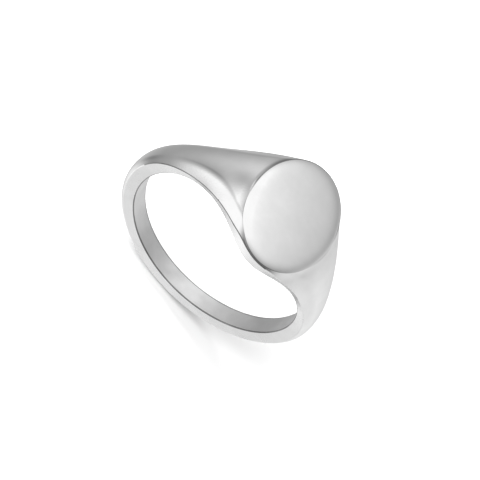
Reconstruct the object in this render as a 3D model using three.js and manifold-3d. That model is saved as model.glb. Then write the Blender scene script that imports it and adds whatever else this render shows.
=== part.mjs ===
// A plain oval signet ring in silver, made up the way a workshop makes one by hand:
// an oval table plate on a head block, two tapering shoulders and a lower shank,
// five pieces that meet face to face at flush soldered joints.
//
// Millimetres. The finger hole's axis is Y, the table faces +Z, and the origin is the
// centre of the finger hole. An angle round the ring is measured from +Z towards +X.
import * as THREE from "three";
import { mergeVertices } from "three/addons/utils/BufferGeometryUtils.js";
import Module from "manifold-3d";

// Driving dimensions.
const BORE_RADIUS = 8.5; // 17 mm inside diameter
const BORE_EDGE_BEVEL = 0.12; // the softened corner where the bore meets the side walls

const SHANK_BORE_HALF_WIDTH = 0.87; // half the shank's width at the bore
const SHANK_EDGE_HALF_WIDTH = 0.74; // and at the outer edge of its side walls
const HEAD_BORE_HALF_WIDTH = 5.27;
const HEAD_EDGE_HALF_WIDTH = 5.66;
const BORE_TAPER = { shoulder: 21, fall: 24.6 }; // degrees: how the width falls away from the head
const EDGE_TAPER = { shoulder: 19.2, fall: 27.6 };

// Heights above the bore. Each spread is the angle in degrees over which the extra fades.
const WALL_HEIGHT = 1.18; // side wall, from the bore to the outer edge
const HEAD_WALL_EXTRA = 0.3; // added at the head
const HEAD_WALL_SPREAD = 18;
const CROWN_HEIGHT = 1.6; // middle of the outside
const HEAD_CROWN_EXTRA = 1.26;
const HEAD_CROWN_SPREAD = 33.6;
const WALL_DIP = { depth: 0.53, angle: 51, spread: 23.4 }; // taken off where the shoulders slope
const CROWN_DIP = { depth: 0.19, angle: 58, spread: 23.4 };

// Across the band the outside falls gently to a soft crest, then steeply to the side wall.
const TOP_DROP = { shank: 0.59, head: 0.96, spread: 22 }; // share of the dome lost by the gentle part
const CREST = { shank: 0.59, head: 0.94, spread: 25 }; // share of the half-width
const CREST_BLEND = { shank: 0.36, head: 0.012, spread: 45 }; // how softly the two parts meet

const TABLE_HALF_LENGTH = 5.6; // along the finger, on Y
const TABLE_HALF_WIDTH = 4.24; // across the finger, on X
const SEAT_HEIGHT = 9.75; // the plane where the table plate is soldered on
const TABLE_EDGE_HEIGHT = 10.06; // top of the plate's upright edge
const TABLE_ROLL_RISE = 0.19; // the rounding between the edge and the face
const TABLE_ROLL_POWER = 13; // higher keeps the rounding closer to the edge
const TABLE_CUSHION_RISE = 0.25; // gentle doming of the face
const TABLE_FLAT = 0.35; // the flat at the middle of the face, as a share of its size

const WASTE = 30; // a block bigger than the ring

const HEAD_END = 32; // degrees: joint between the head and each shoulder
const SHOULDER_END = 90; // degrees: joint between each shoulder and the lower shank

// How finely the curves are cut.
const STEP_ANGLE = 4; // degrees between sections
const DOME_POINTS = 20;
const TABLE_SIDES = 64;
const TABLE_RINGS = 12;
const TABLE_RING_CROWDING = 1.6; // above 1, the rings crowd towards the edge
const SAME_POINT = 1e-4; // corners closer than this are one corner

const SILVER = 0xd9d8d4;
const TABLE_ROUGHNESS = 0.15;
const BAND_ROUGHNESS = 0.2;

const wasm = await Module();
wasm.setup();

const radians = THREE.MathUtils.degToRad;
const bell = (angle, spread) => Math.exp(-((angle / spread) ** 2));
const dip = (at, { depth, angle, spread }) => depth * bell(at - angle, spread);

// Falls from 1 at the head to 0 at the shank: round over the head, then a steady taper.
function taper(angle, { shoulder, fall }) {
  return Math.exp((shoulder - Math.hypot(angle, shoulder)) / fall);
}

// The band's sizes at an angle in degrees from the head.
function boreHalfWidth(angle) {
  return THREE.MathUtils.lerp(SHANK_BORE_HALF_WIDTH, HEAD_BORE_HALF_WIDTH, taper(angle, BORE_TAPER));
}

function edgeHalfWidth(angle) {
  return THREE.MathUtils.lerp(SHANK_EDGE_HALF_WIDTH, HEAD_EDGE_HALF_WIDTH, taper(angle, EDGE_TAPER));
}

function wallHeight(angle) {
  return WALL_HEIGHT + HEAD_WALL_EXTRA * bell(angle, HEAD_WALL_SPREAD) - dip(angle, WALL_DIP);
}

function crownHeight(angle) {
  return CROWN_HEIGHT + HEAD_CROWN_EXTRA * bell(angle, HEAD_CROWN_SPREAD) - dip(angle, CROWN_DIP);
}

// The lower of two heights, rounded over where they cross.
function smoothMin(a, b, blend) {
  const gap = THREE.MathUtils.clamp(0.5 + (0.5 * (b - a)) / blend, 0, 1);
  return THREE.MathUtils.lerp(b, a, gap) - blend * gap * (1 - gap);
}

// How high the outside stands: 1 at the crown and 0 at the edge. across is 0 to 1.
function domeProfile(angle, across) {
  const drop = THREE.MathUtils.lerp(TOP_DROP.shank, TOP_DROP.head, bell(angle, TOP_DROP.spread));
  const crest = THREE.MathUtils.lerp(CREST.shank, CREST.head, Math.exp(-((angle / CREST.spread) ** 3)));
  const blend = THREE.MathUtils.lerp(CREST_BLEND.shank, CREST_BLEND.head, bell(angle, CREST_BLEND.spread));
  const top = 1 - drop * across ** 2;
  const cheek = ((1 - across) * (1 - drop * crest ** 2)) / (1 - crest);
  return smoothMin(top, cheek, blend);
}

// The band's cross-section at one angle: [y, distance from the finger's axis] pairs.
function bandSection(angle) {
  const fromHead = Math.min(Math.abs(angle), 360 - Math.abs(angle)); // the shorter way round
  const bore = boreHalfWidth(fromHead);
  const edge = edgeHalfWidth(fromHead);
  const wall = wallHeight(fromHead);
  const dome = crownHeight(fromHead) - wall;
  const section = [
    [-bore, BORE_RADIUS + BORE_EDGE_BEVEL],
    [-bore + BORE_EDGE_BEVEL, BORE_RADIUS],
    [bore - BORE_EDGE_BEVEL, BORE_RADIUS],
    [bore, BORE_RADIUS + BORE_EDGE_BEVEL],
  ];
  for (let i = 0; i <= DOME_POINTS; i++) {
    const across = Math.sin(radians(90 - (180 * i) / DOME_POINTS)); // closer together near the edges
    section.push([across * edge, BORE_RADIUS + wall + dome * domeProfile(fromHead, Math.abs(across))]);
  }
  return section;
}

// A length of the band between two angles, closed by a flat joint face at each end.
function bandGeometry(fromAngle, toAngle) {
  const steps = Math.round((toAngle - fromAngle) / STEP_ANGLE);
  const positions = [];
  const triangles = [];
  const size = bandSection(fromAngle).length;
  for (let i = 0; i <= steps; i++) {
    const angle = THREE.MathUtils.lerp(fromAngle, toAngle, i / steps);
    for (const [y, radius] of bandSection(angle)) {
      positions.push(radius * Math.sin(radians(angle)), y, radius * Math.cos(radians(angle)));
    }
  }
  for (let i = 0; i < steps; i++) {
    for (let j = 0; j < size; j++) {
      const a = i * size + j;
      const b = i * size + ((j + 1) % size);
      triangles.push(a, b, a + size, b, b + size, a + size);
    }
  }
  const jointFace = (angle, first, flip) => {
    const outline = bandSection(angle).map(([y, radius]) => new THREE.Vector2(y, radius));
    for (const [a, b, c] of THREE.ShapeUtils.triangulateShape(outline, [])) {
      triangles.push(first + a, first + (flip ? c : b), first + (flip ? b : c));
    }
  };
  jointFace(fromAngle, 0, true);
  jointFace(toAngle, steps * size, false);
  return new THREE.BufferGeometry()
    .setAttribute("position", new THREE.Float32BufferAttribute(positions, 3))
    .setIndex(triangles);
}

// The table plate: a solid of revolution about Z, stretched to the table's oval.
function tableGeometry() {
  const profile = [new THREE.Vector2(0, SEAT_HEIGHT), new THREE.Vector2(TABLE_HALF_WIDTH, SEAT_HEIGHT)];
  for (let i = 0; i <= TABLE_RINGS; i++) {
    const share = THREE.MathUtils.lerp(1, TABLE_FLAT, (i / TABLE_RINGS) ** TABLE_RING_CROWDING);
    const roll = TABLE_ROLL_RISE * (1 - share ** TABLE_ROLL_POWER);
    const cushion = TABLE_CUSHION_RISE * (1 - share ** 2);
    profile.push(new THREE.Vector2(share * TABLE_HALF_WIDTH, TABLE_EDGE_HEIGHT + roll + cushion));
  }
  profile.push(new THREE.Vector2(0, profile.at(-1).y));
  return new THREE.LatheGeometry(profile, TABLE_SIDES)
    .rotateX(Math.PI / 2)
    .scale(1, TABLE_HALF_LENGTH / TABLE_HALF_WIDTH, 1);
}

function toSolid(geometry) {
  const bare = new THREE.BufferGeometry().setAttribute("position", geometry.getAttribute("position"));
  const merged = mergeVertices(bare.setIndex(geometry.index), SAME_POINT);
  return new wasm.Manifold(
    new wasm.Mesh({
      numProp: 3,
      vertProperties: merged.attributes.position.array,
      triVerts: new Uint32Array(merged.index.array),
    }),
  );
}

function toGeometry(solid) {
  const mesh = solid.getMesh();
  return new THREE.BufferGeometry()
    .setAttribute("position", new THREE.BufferAttribute(mesh.vertProperties, 3))
    .setIndex(new THREE.BufferAttribute(mesh.triVerts, 1));
}

// The head: the widest part of the band, filed flat at the seat for the table plate.
function headGeometry() {
  const waste = new THREE.BoxGeometry(WASTE, WASTE, WASTE).translate(0, 0, SEAT_HEIGHT + WASTE / 2);
  return toGeometry(toSolid(bandGeometry(-HEAD_END, HEAD_END)).subtract(toSolid(waste)));
}

function piece(name, geometry, roughness) {
  const silver = new THREE.MeshStandardMaterial({ color: SILVER, metalness: 1, roughness });
  const mesh = new THREE.Mesh(geometry, silver);
  mesh.name = name;
  return mesh;
}

const ring = new THREE.Group();
ring.add(
  piece("signet_table", tableGeometry(), TABLE_ROUGHNESS),
  piece("head", headGeometry(), BAND_ROUGHNESS),
  piece("right_shoulder", bandGeometry(HEAD_END, SHOULDER_END), BAND_ROUGHNESS),
  piece("left_shoulder", bandGeometry(-SHOULDER_END, -HEAD_END), BAND_ROUGHNESS),
  piece("lower_shank", bandGeometry(SHOULDER_END, 360 - SHOULDER_END), BAND_ROUGHNESS),
);

export default ring;
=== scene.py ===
import bmesh
import bpy
import numpy as np
from mathutils import Matrix, Vector


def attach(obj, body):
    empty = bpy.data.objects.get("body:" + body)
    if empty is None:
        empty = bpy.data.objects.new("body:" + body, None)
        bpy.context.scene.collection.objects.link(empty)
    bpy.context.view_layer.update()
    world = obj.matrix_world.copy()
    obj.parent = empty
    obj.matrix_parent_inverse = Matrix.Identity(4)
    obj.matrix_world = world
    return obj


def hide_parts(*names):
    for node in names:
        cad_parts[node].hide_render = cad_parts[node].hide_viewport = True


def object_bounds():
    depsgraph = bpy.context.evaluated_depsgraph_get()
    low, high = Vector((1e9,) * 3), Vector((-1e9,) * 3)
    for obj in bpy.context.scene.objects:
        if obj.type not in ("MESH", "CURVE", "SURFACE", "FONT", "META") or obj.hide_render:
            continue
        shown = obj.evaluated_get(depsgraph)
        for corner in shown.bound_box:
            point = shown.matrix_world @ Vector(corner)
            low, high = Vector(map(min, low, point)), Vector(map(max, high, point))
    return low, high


# A polished silver signet ring. Sizes are in millimetres, as in the CAD part, until a mesh is made.
# The finger hole's axis is Y, the table faces +Z, and an angle round the ring runs from +Z to +X.
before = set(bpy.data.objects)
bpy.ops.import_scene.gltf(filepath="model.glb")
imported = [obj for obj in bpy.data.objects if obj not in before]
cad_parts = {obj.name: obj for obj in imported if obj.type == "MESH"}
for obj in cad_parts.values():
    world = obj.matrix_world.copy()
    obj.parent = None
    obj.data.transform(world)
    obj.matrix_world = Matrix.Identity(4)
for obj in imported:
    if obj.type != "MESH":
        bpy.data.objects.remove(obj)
cad_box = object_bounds()

MM = 0.001

# The band. The head's sizes run into the shank's round the ring. Angles and spreads are in degrees.
BORE_RADIUS = 8.5
SHANK_BORE_HALF_WIDTH = 0.87  # half the shank's width at the bore
SHANK_EDGE_HALF_WIDTH = 0.74  # and at the outer edge of its side walls
HEAD_BORE_HALF_WIDTH = 5.27
HEAD_EDGE_HALF_WIDTH = 5.66
BORE_TAPER = (21.0, 24.6)  # shoulder, fall: how the width falls away from the head
EDGE_TAPER = (19.2, 27.6)
HEAD_END = 32.0  # joint between the head and each shoulder
SHOULDER_END = 90.0  # joint between each shoulder and the lower shank

# Heights above the bore.
WALL_HEIGHT = 1.18  # side wall, from the bore to the outer edge
HEAD_WALL_EXTRA = 0.3
HEAD_WALL_SPREAD = 18.0
CROWN_HEIGHT = 1.6  # middle of the outside
HEAD_CROWN_EXTRA = 1.26
HEAD_CROWN_SPREAD = 33.6
WALL_DIP = (0.53, 51.0, 23.4)  # depth, angle, spread: taken off where the shoulders slope
CROWN_DIP = (0.19, 58.0, 23.4)

# Across the band the outside falls gently to a soft crest, then steeply to the side wall.
TOP_DROP = 0.59  # share of the dome that the gentle part would fall by the edge
HEAD_TOP_DROP = 0.96
TOP_DROP_SPREAD = 22.0
CREST = 0.59  # where the crest lies, as a share of the half-width
HEAD_CREST = 0.94
CREST_SPREAD = 25.0
CREST_BLEND = 0.24  # how softly the two parts meet
HEAD_CREST_BLEND = 0.012
CREST_BLEND_SPREAD = 45.0

# The table plate on the head, and how the head's outside sweeps up to it.
TABLE_HALF_LENGTH = 5.6  # along the finger, on Y
TABLE_HALF_WIDTH = 4.24  # across the finger, on X
SEAT_HEIGHT = 9.75  # the plane where the plate is soldered on
TABLE_EDGE_HEIGHT = 10.06  # top of the plate's upright edge
TABLE_ROLL_RISE = 0.19  # the rounding between the edge and the face
TABLE_ROLL_POWER = 13.0  # higher keeps the rounding closer to the edge
TABLE_CUSHION_RISE = 0.25  # gentle doming of the face
EDGE_STEP = 0.06  # the table's edge stands this far above the head
STEP_BLEND = 0.1  # how softly the head levels off below the table's edge
SWEEP_WIDTH = 0.5  # how far from the table the sweep begins

# Worn edges, and the painted shade along them: dark strips that stand in for the dark reflections at the
# edges.
BORE_EDGE_RADIUS = 0.05
CREASE_SOFTNESS = 0.05  # how far the rounding of the outer edge reaches on each side
WALL_SHADE_REACH = 0.02  # how far the painted shade of the bore's edge reaches up the side wall
BORE_SHADE_REACH = 0.06  # and into the bore
EDGE_SHADE_END = 8.0  # the head's outer edge has painted shade up to this angle and none after it

# How finely the meshes are cut.
ANGLE_STEP = 0.5
DOME_STEPS = 80
CORNER_STEPS = 4
WALL_STEPS = 8
BORE_EDGE_STEPS = 5
BORE_STEPS = 6
HEAD_ROWS = 40
HEAD_ROW_CROWDING = 1.5  # above 1, the rows crowd towards the table
TABLE_SIDES = 256
TABLE_RINGS = 56
TABLE_RING_CROWDING = 1.6  # above 1, the rings crowd towards the edge
TABLE_RING_REACH = 0.995  # how near the rings come to the middle, as a share of the way
TABLE_EDGE_ROWS = 5  # the upright edge and the first narrow rings above it
SHARP_ANGLE = 30.0  # faces that meet at more than this are shaded with a sharp edge between them
SAME_POINT = 2e-7  # metres: corners closer than this are one corner
NO_LENGTH = 1e-8  # metres: an edge shorter than this is taken out
HEIGHT_PASSES = 60  # enough for the search for a height to settle
LEAST_SQUARE = 1.0  # keeps the square root in that search real
FOOT_PASSES = 30  # enough for the search for the table's foot to settle

OUTSIDE, WALL, BORE, SHADED_EDGE = range(4)  # material slots of the head, the shoulders and the shank; the last carries painted shade at the edges
TABLE_RIM = 1  # the table's second material slot, which takes the painted corner shade; its first is its outside
MIRROR_X = np.array([-1.0, 1.0, 1.0])
MIRROR_Y = np.array([1.0, -1.0, 1.0])

# Silver's relief, as (size of its marks in mm, stretch along x, y and z, depth in mm).
POLISH_LINES = (0.05, (1.0, 14.0, 1.0), 0.00012)
CROSS_LINES = (0.07, (12.0, 1.0, 12.0), 0.00010)
GRAIN = (0.10, (1.0, 1.0, 1.0), 0.003)
TURNING_LINES = (0.05, (14.0, 1.0, 14.0), 0.004)
NOISE_MIDDLE = (0.3, 0.7)  # most of a noise lies between these
SMUDGE_SIZE = 1.4  # smudges, which change the shade
SMUDGE_DETAIL = 4.0
HANDLING_SIZE = 1.2  # marks of handling, which change the roughness
HANDLING_DETAIL = 6.0

# Painted shade in the corner at the table's foot.
CORNER_REACH = 0.07  # how far it reaches, as a share of the table's size
CORNER_DARKNESS = 0.62
UNSHADED_PLACES = (  # outward directions where the corner's painted shade is left out, and how it returns
    ((-0.84, -0.545, 0.0), (0.97, 0.86)),
    ((0.94, -0.34, 0.0), (0.85, 0.6)),
)

# The camera looks down from the near left, rolled.
CAMERA_PLACE = Vector((-86.6, -235.9, 332.3)) * MM
CAMERA_RIGHT = Vector((0.61972, 0.55228, 0.55762))  # the way its right-hand side points
CAMERA_BACK = Vector((-0.20910, -0.56863, 0.79557))  # the way from the ring to the camera
SENSOR_WIDTH = 36.0
FOCAL_LENGTH = 375.0
NEAREST_SEEN = 0.01  # metres
FARTHEST_SEEN = 10.0

# The floor, and a large soft light over it for a faint shadow under the ring. Metres and watts.
FLOOR_REACH = 2.0
FLOOR_COLOR = (0.9, 0.9, 0.9, 1.0)
FLOOR_LIGHT_PLACE = Vector((-0.26, -0.05, 0.26))
FLOOR_LIGHT_SIZE = 0.5
FLOOR_LIGHT_POWER = 3.4

# The studio that the ring reflects. Directions are (azimuth, elevation) in degrees: elevation from
# the studio's horizon, azimuth from the camera's side towards its right. The ring lies rolled over
# onto its shoulder in the studio, so the studio's up leans in the ring's own frame.
STUDIO_UP = Vector((-0.68, 0.0, 0.73)).normalized()
BACKDROP_COLOR = (1.0, 1.0, 1.0, 1.0)  # what the camera sees behind the ring
STUDIO_GLOW = 0.02  # light from every direction
STUDIO_WHITE = 1.03  # the brightest that any direction gets
STUDIO_LIGHTS = (  # azimuth, elevation, tightness, strength; a negative strength is a dark flag
    (1.0, 91.0, 3.4, 1.40),  # wide light overhead
    (1.0, -91.0, 1.0, 0.98),  # white floor
    (79.0, 40.0, 2.4, 0.76),  # wide light at the right
    (-110.0, -26.0, 12.8, 1.00),  # card low at the left
    (-122.0, -10.0, 22.5, -0.46),  # shade above that card
    (-186.0, 66.0, 24.6, -0.78),  # flag high behind
    (57.0, -15.0, 1.1, -0.66),  # wide shade low at the front right
    (-82.0, 33.0, 36.4, 2.20),  # small bright light at the left
    (80.0, -35.0, 3.5, 0.49),  # wide card low at the right
    (-130.0, 54.0, 20.0, -0.52),  # flag high behind the left
    (100.0, -2.0, 9.3, -0.13),  # faint shade level with the right
    (24.0, 49.0, 9.5, -0.40),  # flag beside the camera
)


# The band's sizes at an angle.


def between(start, end, share):
    return start + (end - start) * share


def bell(angle, spread):
    return np.exp(-((angle / spread) ** 2))


def dip(at, depth, angle, spread):
    return depth * bell(at - angle, spread)


def taper(angle, shoulder, fall):
    """Falls from 1 at the head to 0 at the shank: round over the head, then a steady taper."""
    return np.exp((shoulder - np.hypot(angle, shoulder)) / fall)


def from_head(angle):
    """The angle from the middle of the head, the shorter way round."""
    turned = np.abs(angle)
    return np.minimum(turned, 360.0 - turned)


def bore_half_width(angle):
    return between(SHANK_BORE_HALF_WIDTH, HEAD_BORE_HALF_WIDTH, taper(from_head(angle), *BORE_TAPER))


def edge_half_width(angle):
    return between(SHANK_EDGE_HALF_WIDTH, HEAD_EDGE_HALF_WIDTH, taper(from_head(angle), *EDGE_TAPER))


def wall_height(angle):
    angle = from_head(angle)
    return WALL_HEIGHT + HEAD_WALL_EXTRA * bell(angle, HEAD_WALL_SPREAD) - dip(angle, *WALL_DIP)


def crown_height(angle):
    angle = from_head(angle)
    return CROWN_HEIGHT + HEAD_CROWN_EXTRA * bell(angle, HEAD_CROWN_SPREAD) - dip(angle, *CROWN_DIP)


def smooth_min(a, b, blend):
    """The lower of two heights, rounded over where they cross."""
    gap = np.clip(0.5 + 0.5 * (b - a) / blend, 0.0, 1.0)
    return b * (1.0 - gap) + a * gap - blend * gap * (1.0 - gap)


def dome_profile(angle, across):
    """How high the outside stands: 1 at the crown and 0 at the edge. across runs from -1 to 1."""
    across = np.abs(across)
    angle = from_head(angle)
    drop = between(TOP_DROP, HEAD_TOP_DROP, bell(angle, TOP_DROP_SPREAD))
    crest = between(CREST, HEAD_CREST, np.exp(-((angle / CREST_SPREAD) ** 3)))
    blend = between(CREST_BLEND, HEAD_CREST_BLEND, bell(angle, CREST_BLEND_SPREAD))
    top = 1.0 - drop * across**2
    cheek = (1.0 - across) * (1.0 - drop * crest**2) / (1.0 - crest)
    return smooth_min(top, cheek, blend)


def dome_radius(angle, y):
    """Distance from the finger's axis to the domed outside."""
    wall = wall_height(angle)
    across = np.clip(y / edge_half_width(angle), -1.0, 1.0)
    return BORE_RADIUS + wall + (crown_height(angle) - wall) * dome_profile(angle, across)


# The head's outside, over points given in plan.


def dome_height(x, y):
    """Height of the domed outside, kept just below the table's edge."""
    z = np.full(np.shape(x), SEAT_HEIGHT)
    for _ in range(HEIGHT_PASSES):
        radius = dome_radius(np.degrees(np.arctan2(x, z)), y)
        found = np.sqrt(np.maximum(radius**2 - x**2, LEAST_SQUARE))
        z = between(z, found, 0.5)  # half the way, which keeps the search steady
    return smooth_min(z, np.full(np.shape(z), TABLE_EDGE_HEIGHT - EDGE_STEP), STEP_BLEND)


def table_foot(x, y):
    """Nearest point of the table's oval outline to a point outside it."""
    turn = np.arctan2(y / TABLE_HALF_LENGTH, x / TABLE_HALF_WIDTH)
    for _ in range(FOOT_PASSES):
        foot_x, foot_y = TABLE_HALF_WIDTH * np.cos(turn), TABLE_HALF_LENGTH * np.sin(turn)
        step_x, step_y = -TABLE_HALF_WIDTH * np.sin(turn), TABLE_HALF_LENGTH * np.cos(turn)
        along = (x - foot_x) * step_x + (y - foot_y) * step_y
        bend = (x - foot_x) * -foot_x + (y - foot_y) * -foot_y - (step_x**2 + step_y**2)
        turn = turn - along / bend
    return TABLE_HALF_WIDTH * np.cos(turn), TABLE_HALF_LENGTH * np.sin(turn)


def head_height(x, y, foot_x, foot_y, distance):
    """Height of the outside of the head, which sweeps up to the table's edge at the foot point."""
    step = TABLE_EDGE_HEIGHT - EDGE_STEP - dome_height(foot_x, foot_y)
    sweep = np.clip(1.0 - distance / SWEEP_WIDTH, 0.0, 1.0) ** 2
    return dome_height(x, y) + np.maximum(step, 0.0) * sweep


def outside_height(x, y):
    foot_x, foot_y = table_foot(x, y)
    return head_height(x, y, foot_x, foot_y, np.hypot(x - foot_x, y - foot_y))


# Lines of points that the pieces are made from.


def polar(angle, y, radius):
    """Points (x, y, z) at an angle round the ring and a distance from the finger's axis."""
    turned = np.radians(angle)
    x, z = radius * np.sin(turned), radius * np.cos(turned)
    return np.stack(np.broadcast_arrays(x, y, z), axis=-1)


def band_angles(start, end):
    return np.linspace(start, end, int(round((end - start) / ANGLE_STEP)) + 1)


def crease_point(angle):
    """The corner between the outside and the side wall at +y."""
    return polar(angle, edge_half_width(angle), BORE_RADIUS + wall_height(angle))


def dome_section(angle):
    """The domed outside at one angle, between the roundings at -y and +y."""
    reach = edge_half_width(angle) - CREASE_SOFTNESS
    y = np.linspace(-reach, reach, DOME_STEPS + 1)
    return polar(angle, y, dome_radius(angle, y))


def edge_arc(half_width):
    """The worn edge of the bore, from the bore to the side wall, as y values and radii."""
    turn = np.linspace(0.0, np.pi / 2, BORE_EDGE_STEPS + 1)
    y = half_width - BORE_EDGE_RADIUS * (1.0 - np.sin(turn))
    radius = BORE_RADIUS + BORE_EDGE_RADIUS * (1.0 - np.cos(turn))
    # The first point starts the strip of painted shade that reaches into the bore.
    return np.insert(y, 0, y[0] - BORE_SHADE_REACH), np.insert(radius, 0, BORE_RADIUS)


def soft_corner(before, corner, after):
    """Points of a small rounding at a corner, between a point before it and one after it."""
    t = np.linspace(0.0, 1.0, CORNER_STEPS + 1)[:, None]
    return (1.0 - t) ** 2 * before + 2.0 * t * (1.0 - t) * corner + t**2 * after


def point_toward(start, end, distance):
    return start + (end - start) * distance / np.linalg.norm(end - start)


def underside(angle, crease, dome_side):
    """The side walls and bore at one angle, from the dome at +y round to the dome at -y.

    crease is the corner (x, y, z) at +y, and dome_side the last point of the dome before it.
    """
    bore_edge = polar(angle, *edge_arc(bore_half_width(angle)))[::-1]
    wall_top = point_toward(crease, bore_edge[0], CREASE_SOFTNESS)
    # The wall's foot takes the painted shade of the bore's edge.
    wall_foot = point_toward(bore_edge[0], crease, WALL_SHADE_REACH)
    wall = between(wall_top, wall_foot, np.linspace(0.0, 1.0, WALL_STEPS + 1)[1:, None])
    half = np.concatenate([soft_corner(dome_side, crease, wall_top), wall, bore_edge])
    across = np.linspace(1.0, -1.0, BORE_STEPS + 1)[1:-1]
    ones = np.ones_like(across)
    bore = half[-1] * np.column_stack([ones, across, ones])
    return np.concatenate([half, bore, half[::-1] * MIRROR_Y])


def underside_marks(outer_edge_painted_dark):
    """Material slots along the underside, in the same order as its points."""
    # The outer edge's rounding takes painted shade when asked for, and the wall's silver otherwise.
    outer_edge = np.full(CORNER_STEPS, SHADED_EDGE if outer_edge_painted_dark else WALL)
    wall = np.full(WALL_STEPS, WALL)
    bore_edge = np.full(2 + BORE_EDGE_STEPS, SHADED_EDGE)  # with a strip of painted shade on each side
    half = np.concatenate([outer_edge, wall, bore_edge])
    return np.concatenate([half, np.full(BORE_STEPS, BORE), half[::-1]])


# The pieces.


class MeshBuilder:
    """Gathers grids of points into one closed mesh."""

    def __init__(self):
        self.points = []
        self.faces = []
        self.marks = []

    def grid(self, rows, mark=OUTSIDE):
        """rows: array (n, m, 3). mark: a material slot, or an array of m - 1 of them."""
        count, width = rows.shape[:2]
        first = len(self.points)
        self.points.extend(rows.reshape(-1, 3))
        marks = np.broadcast_to(mark, width - 1)
        for i in range(count - 1):
            for j in range(width - 1):
                a = first + i * width + j
                self.faces.append((a, a + 1, a + 1 + width, a + width))
                self.marks.append(int(marks[j]))

    def cap(self, outline):
        """Closes an outline with one flat face."""
        first = len(self.points)
        self.points.extend(outline)
        self.faces.append(tuple(range(first, first + len(outline))))
        self.marks.append(OUTSIDE)

    def build(self, name, materials):
        mesh = bpy.data.meshes.new(name)
        mesh.from_pydata((np.array(self.points) * MM).tolist(), [], self.faces)
        mesh.polygons.foreach_set("material_index", self.marks)
        work = bmesh.new()
        work.from_mesh(mesh)
        bmesh.ops.remove_doubles(work, verts=work.verts, dist=SAME_POINT)
        bmesh.ops.dissolve_degenerate(work, edges=work.edges, dist=NO_LENGTH)
        bmesh.ops.recalc_face_normals(work, faces=work.faces)
        for edge in work.edges:
            edge.smooth = bool(edge.calc_face_angle(0.0) < np.radians(SHARP_ANGLE))
        for face in work.faces:
            face.smooth = True
        work.to_mesh(mesh)
        work.free()
        for material in materials:
            mesh.materials.append(material)
        return add_object(name, mesh)


def add_object(name, data):
    obj = bpy.data.objects.new(name, data)
    bpy.context.scene.collection.objects.link(obj)
    return obj


def band_piece(name, start, end, materials, outer_edge_painted_dark):
    """A length of the band between two joint planes."""
    angles = band_angles(start, end)
    domes = np.array([dome_section(a) for a in angles])
    unders = np.array([underside(a, crease_point(a), dome[-1]) for a, dome in zip(angles, domes)])
    builder = MeshBuilder()
    builder.grid(domes)
    builder.grid(unders, underside_marks(outer_edge_painted_dark))
    for i in (0, -1):
        builder.cap(np.concatenate([domes[i], unders[i][1:-1]]))
    return builder.build(name, materials)


def head_surface(rim):
    """Rows of points over the head's outside, from the table's foot out to the rim."""
    foot_x, foot_y = table_foot(rim[:, 0], rim[:, 1])
    distance = np.hypot(rim[:, 0] - foot_x, rim[:, 1] - foot_y)
    share = np.linspace(0.0, 1.0, HEAD_ROWS + 1)[:, None] ** HEAD_ROW_CROWDING
    x = between(foot_x, rim[:, 0], share)
    y = between(foot_y, rim[:, 1], share)
    surface = np.stack([x, y, head_height(x, y, foot_x, foot_y, distance * share)], axis=-1)
    surface[-1] = rim
    return surface


def head_piece(name, materials):
    """The head: side walls and bore, and an outside that sweeps up to the table's edge."""
    angles = band_angles(-HEAD_END, HEAD_END)
    corner = crease_point(angles)
    corner[:, 2] = outside_height(corner[:, 0], corner[:, 1])
    side_x, side_y = corner[:, 0], corner[:, 1] - CREASE_SOFTNESS
    side = np.column_stack([side_x, side_y, outside_height(side_x, side_y)])

    right_joint = dome_section(HEAD_END)[::-1]  # from +y to -y
    right_joint[0] = side[-1]
    right_joint[-1] = side[-1] * MIRROR_Y
    left_joint = right_joint[::-1] * MIRROR_X
    rim = np.concatenate([side[:-1], right_joint[:-1], side[:0:-1] * MIRROR_Y, left_joint])
    surface = head_surface(rim)
    seat = surface[0].copy()
    seat[:, 2] = SEAT_HEIGHT
    unders = np.array([underside(*at) for at in zip(angles, corner, side)])

    builder = MeshBuilder()
    builder.grid(surface)
    builder.grid(np.array([seat, surface[0]]))
    builder.cap(seat[:-1])
    # Painted shade on the head's outer edge stops at this angle.
    shade_stop = np.searchsorted(angles, EDGE_SHADE_END)
    builder.grid(unders[: shade_stop + 1], underside_marks(outer_edge_painted_dark=True))
    builder.grid(unders[shade_stop:], underside_marks(outer_edge_painted_dark=False))
    builder.cap(np.concatenate([left_joint, unders[0][1:-1]]))
    builder.cap(np.concatenate([right_joint[::-1], unders[-1][1:-1]]))
    return builder.build(name, materials)


def table_piece(name, materials):
    """The table plate: an upright edge that rolls over into a gently cushioned face."""
    turn = np.linspace(0.0, 2 * np.pi, TABLE_SIDES + 1)
    outline = np.stack([TABLE_HALF_WIDTH * np.cos(turn), TABLE_HALF_LENGTH * np.sin(turn)], axis=-1)
    share = 1.0 - np.linspace(0.0, 1.0, TABLE_RINGS) ** TABLE_RING_CROWDING * TABLE_RING_REACH
    roll = TABLE_ROLL_RISE * (1.0 - share**TABLE_ROLL_POWER)
    height = TABLE_EDGE_HEIGHT + roll + TABLE_CUSHION_RISE * (1.0 - share**2)
    sizes = [1.0, *share]
    heights = [SEAT_HEIGHT, *height]
    rings = [np.column_stack([outline * s, np.full(len(turn), h)]) for s, h in zip(sizes, heights)]
    rows = np.array(rings)
    builder = MeshBuilder()
    builder.grid(rows[: TABLE_EDGE_ROWS + 1], TABLE_RIM)
    builder.grid(rows[TABLE_EDGE_ROWS:])
    builder.cap(rows[-1][:-1])
    builder.cap(rows[0][:-1])
    return builder.build(name, materials)


# Shader nodes.


def add_node(tree, kind, inputs=None, **settings):
    """A shader node with its settings, and values or links for its inputs."""
    node = tree.nodes.new(kind)
    for name, value in settings.items():
        setattr(node, name, value)
    for key, value in (inputs or {}).items():
        if isinstance(value, bpy.types.NodeSocket):
            tree.links.new(value, node.inputs[key])
        else:
            node.inputs[key].default_value = value
    return node


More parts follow.
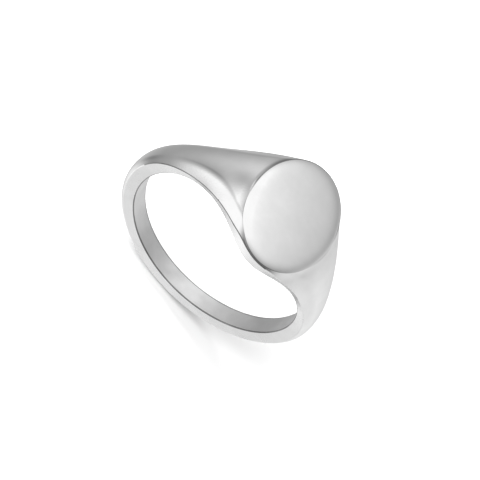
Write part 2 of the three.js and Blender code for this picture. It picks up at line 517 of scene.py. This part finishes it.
def calculate(tree, operation, *values):
    return add_node(tree, "ShaderNodeMath", dict(enumerate(values)), operation=operation).outputs[0]


def combine(tree, operation, *vectors):
    return add_node(tree, "ShaderNodeVectorMath", dict(enumerate(vectors)), operation=operation)


def noise(tree, cell, stretch=(1.0, 1.0, 1.0), detail=2.0):
    """Noise from 0 to 1 over the piece. cell is the size in mm of its patches before stretching."""
    place = add_node(tree, "ShaderNodeTexCoord").outputs["Object"]
    scale = [1.0 / (cell * MM * s) for s in stretch]
    scaled = combine(tree, "MULTIPLY", place, scale).outputs[0]
    settings = {"Vector": scaled, "Scale": 1.0, "Detail": detail}
    return add_node(tree, "ShaderNodeTexNoise", settings).outputs["Fac"]


def map_range(tree, value, before, after, **settings):
    """A value moved from the range before to the range after."""
    inputs = {"Value": value, "From Min": before[0], "From Max": before[1]}
    inputs |= {"To Min": after[0], "To Max": after[1]}
    return add_node(tree, "ShaderNodeMapRange", inputs, **settings).outputs["Result"]


def ramp(tree, value, start, end):
    """0 up to start, 1 from end on, and smooth between them; end may be the lower of the two."""
    return map_range(tree, value, (start, end), (0.0, 1.0), interpolation_type="SMOOTHSTEP")


def bumps(tree, layers):
    """A normal from (height, depth in mm) layers laid one over the other."""
    normal = None
    for height, depth in layers:
        inputs = {"Height": height, "Distance": depth * MM}
        if normal is not None:
            inputs["Normal"] = normal
        normal = add_node(tree, "ShaderNodeBump", inputs).outputs["Normal"]
    return normal


def corner_shade_mask(tree):
    """1 in the corner at the table's foot, where shade is painted, and 0 away from it."""
    place = add_node(tree, "ShaderNodeTexCoord").outputs["Object"]
    shrink = (1.0 / (TABLE_HALF_WIDTH * MM), 1.0 / (TABLE_HALF_LENGTH * MM), 0.0)
    plan = combine(tree, "MULTIPLY", place, shrink).outputs[0]
    distance = combine(tree, "LENGTH", plan).outputs["Value"]
    near = ramp(tree, distance, 1.0 + CORNER_REACH, 1.0)
    for direction, fade in UNSHADED_PLACES:
        outward = combine(tree, "DOT_PRODUCT", plan, direction).outputs["Value"]
        near = calculate(tree, "MULTIPLY", near, ramp(tree, outward, *fade))
    return near


# Materials.


def silver(name, shade, roughness, reliefs, corner_shade_painted=False):
    """Silver whose shade and roughness wander between two values, with layers of fine relief."""
    material = bpy.data.materials.new(name)
    material.use_nodes = True
    tree = material.node_tree
    shader = tree.nodes["Principled BSDF"]
    shader.inputs["Metallic"].default_value = 1.0
    smudges = noise(tree, SMUDGE_SIZE, detail=SMUDGE_DETAIL)
    color = map_range(tree, smudges, NOISE_MIDDLE, shade)
    # Painted shade darkens the corner at the table's foot.
    if corner_shade_painted:
        left_unshaded = calculate(tree, "MULTIPLY_ADD", corner_shade_mask(tree), -CORNER_DARKNESS, 1.0)
        color = calculate(tree, "MULTIPLY", color, left_unshaded)
    tree.links.new(color, shader.inputs["Base Color"])
    handling = noise(tree, HANDLING_SIZE, detail=HANDLING_DETAIL)
    worn = map_range(tree, handling, NOISE_MIDDLE, roughness)
    tree.links.new(worn, shader.inputs["Roughness"])
    layers = [(noise(tree, cell, stretch), depth) for cell, stretch, depth in reliefs]
    tree.links.new(bumps(tree, layers), shader.inputs["Normal"])
    return material


def polished_silver(name, corner_shade_painted):
    return silver(name, (0.90, 0.95), (0.02, 0.06), (POLISH_LINES, CROSS_LINES, GRAIN), corner_shade_painted)


def table_silver():
    return silver("table_silver", (0.90, 0.95), (0.05, 0.10), (POLISH_LINES, CROSS_LINES))


def brushed_silver():
    return silver("brushed_silver", (0.90, 0.97), (0.20, 0.30), (CROSS_LINES, GRAIN))


def satin_silver():
    return silver("satin_silver", (0.77, 0.87), (0.30, 0.42), (TURNING_LINES, GRAIN))


# Dark silver for the edge strips: painted shade standing in for the dark reflections along the rims and
# the crease.
def dark_edge_paint():
    return silver("painted_edge_shade", (0.22, 0.40), (0.25, 0.45), (GRAIN,))


# The studio, the floor and the camera.


def studio_direction(azimuth, elevation):
    front = (CAMERA_BACK - STUDIO_UP * CAMERA_BACK.dot(STUDIO_UP)).normalized()
    right = STUDIO_UP.cross(front)
    level = front * np.cos(np.radians(azimuth)) + right * np.sin(np.radians(azimuth))
    return level * np.cos(np.radians(elevation)) + STUDIO_UP * np.sin(np.radians(elevation))


def studio_world():
    """The studio's lights as the ring reflects them, behind a white backdrop for the camera."""
    world = bpy.data.worlds.new("studio")
    world.use_nodes = True
    tree = world.node_tree
    direction = add_node(tree, "ShaderNodeTexCoord").outputs["Generated"]
    total = STUDIO_GLOW
    for azimuth, elevation, tightness, strength in STUDIO_LIGHTS:
        axis = studio_direction(azimuth, elevation)
        facing = combine(tree, "DOT_PRODUCT", direction, axis).outputs["Value"]
        fade = calculate(tree, "MULTIPLY_ADD", facing, tightness, -tightness)
        total = calculate(tree, "MULTIPLY_ADD", calculate(tree, "EXPONENT", fade), strength, total)
    total = calculate(tree, "MINIMUM", calculate(tree, "MAXIMUM", total, 0.0), STUDIO_WHITE)
    reflected = tree.nodes["Background"]
    tree.links.new(total, reflected.inputs["Color"])
    backdrop = add_node(tree, "ShaderNodeBackground", {"Color": BACKDROP_COLOR, "Strength": 1.0})
    seen = add_node(tree, "ShaderNodeLightPath").outputs["Is Camera Ray"]
    parts = {0: seen, 1: reflected.outputs[0], 2: backdrop.outputs[0]}
    shown = add_node(tree, "ShaderNodeMixShader", parts)
    tree.links.new(shown.outputs[0], tree.nodes["World Output"].inputs["Surface"])
    bpy.context.scene.world = world


def floor_piece(height):
    near, far = -FLOOR_REACH, FLOOR_REACH
    corners = [(near, near, height), (far, near, height), (far, far, height), (near, far, height)]
    mesh = bpy.data.meshes.new("floor")
    mesh.from_pydata(corners, [], [(0, 1, 2, 3)])
    paint = bpy.data.materials.new("floor_paint")
    paint.use_nodes = True
    paint.node_tree.nodes["Principled BSDF"].inputs["Base Color"].default_value = FLOOR_COLOR
    mesh.materials.append(paint)
    floor = add_object("floor", mesh)
    floor.visible_glossy = False  # the ring reflects the studio's own floor instead
    return floor


def floor_light():
    data = bpy.data.lights.new("floor_light", "AREA")
    data.shape = "DISK"
    data.size = FLOOR_LIGHT_SIZE
    data.energy = FLOOR_LIGHT_POWER
    light = add_object("floor_light", data)
    light.location = FLOOR_LIGHT_PLACE
    light.rotation_mode = "QUATERNION"
    light.rotation_quaternion = (-FLOOR_LIGHT_PLACE).to_track_quat("-Z", "Y")
    light.visible_glossy = False
    light.visible_camera = False


def scene_camera():
    data = bpy.data.cameras.new("camera")
    data.sensor_width = SENSOR_WIDTH
    data.lens = FOCAL_LENGTH
    data.clip_start = NEAREST_SEEN
    data.clip_end = FARTHEST_SEEN
    camera = add_object("camera", data)
    back = CAMERA_BACK.normalized()
    up = back.cross(CAMERA_RIGHT).normalized()
    turn = Matrix((up.cross(back), up, back)).transposed()
    camera.matrix_world = Matrix.Translation(CAMERA_PLACE) @ turn.to_4x4()
    bpy.context.scene.camera = camera


def stand_for(piece, node):
    """Puts a visual piece in the place of a CAD node."""
    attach(piece, "root")
    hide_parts(node)


polished = polished_silver("polished_silver", corner_shade_painted=False)
# Polished silver with painted shade in the corner at the table's foot, for the head's outside and the
# table's rim.
corner_shaded_polish = polished_silver("corner_shade_painted", corner_shade_painted=True)
table_face = table_silver()
inner = [brushed_silver(), satin_silver(), dark_edge_paint()]  # wall, bore, and the painted shade of the edges
metals = [polished, *inner]

table_visual = table_piece("table_visual", [table_face, corner_shaded_polish])
head_visual = head_piece("head_visual", [corner_shaded_polish, *inner])
right_visual = band_piece("right_shoulder_visual", HEAD_END, SHOULDER_END, metals, outer_edge_painted_dark=False)
left_visual = band_piece("left_shoulder_visual", -SHOULDER_END, -HEAD_END, metals, outer_edge_painted_dark=True)
shank_end = 360.0 - SHOULDER_END
shank_visual = band_piece("lower_shank_visual", SHOULDER_END, shank_end, metals, outer_edge_painted_dark=False)

stand_for(table_visual, "signet_table")
stand_for(head_visual, "head")
stand_for(right_visual, "right_shoulder")
stand_for(left_visual, "left_shoulder")
stand_for(shank_visual, "lower_shank")

floor_piece(cad_box[0].z)
studio_world()
floor_light()
bpy.context.scene.view_settings.view_transform = "Standard"
scene_camera()
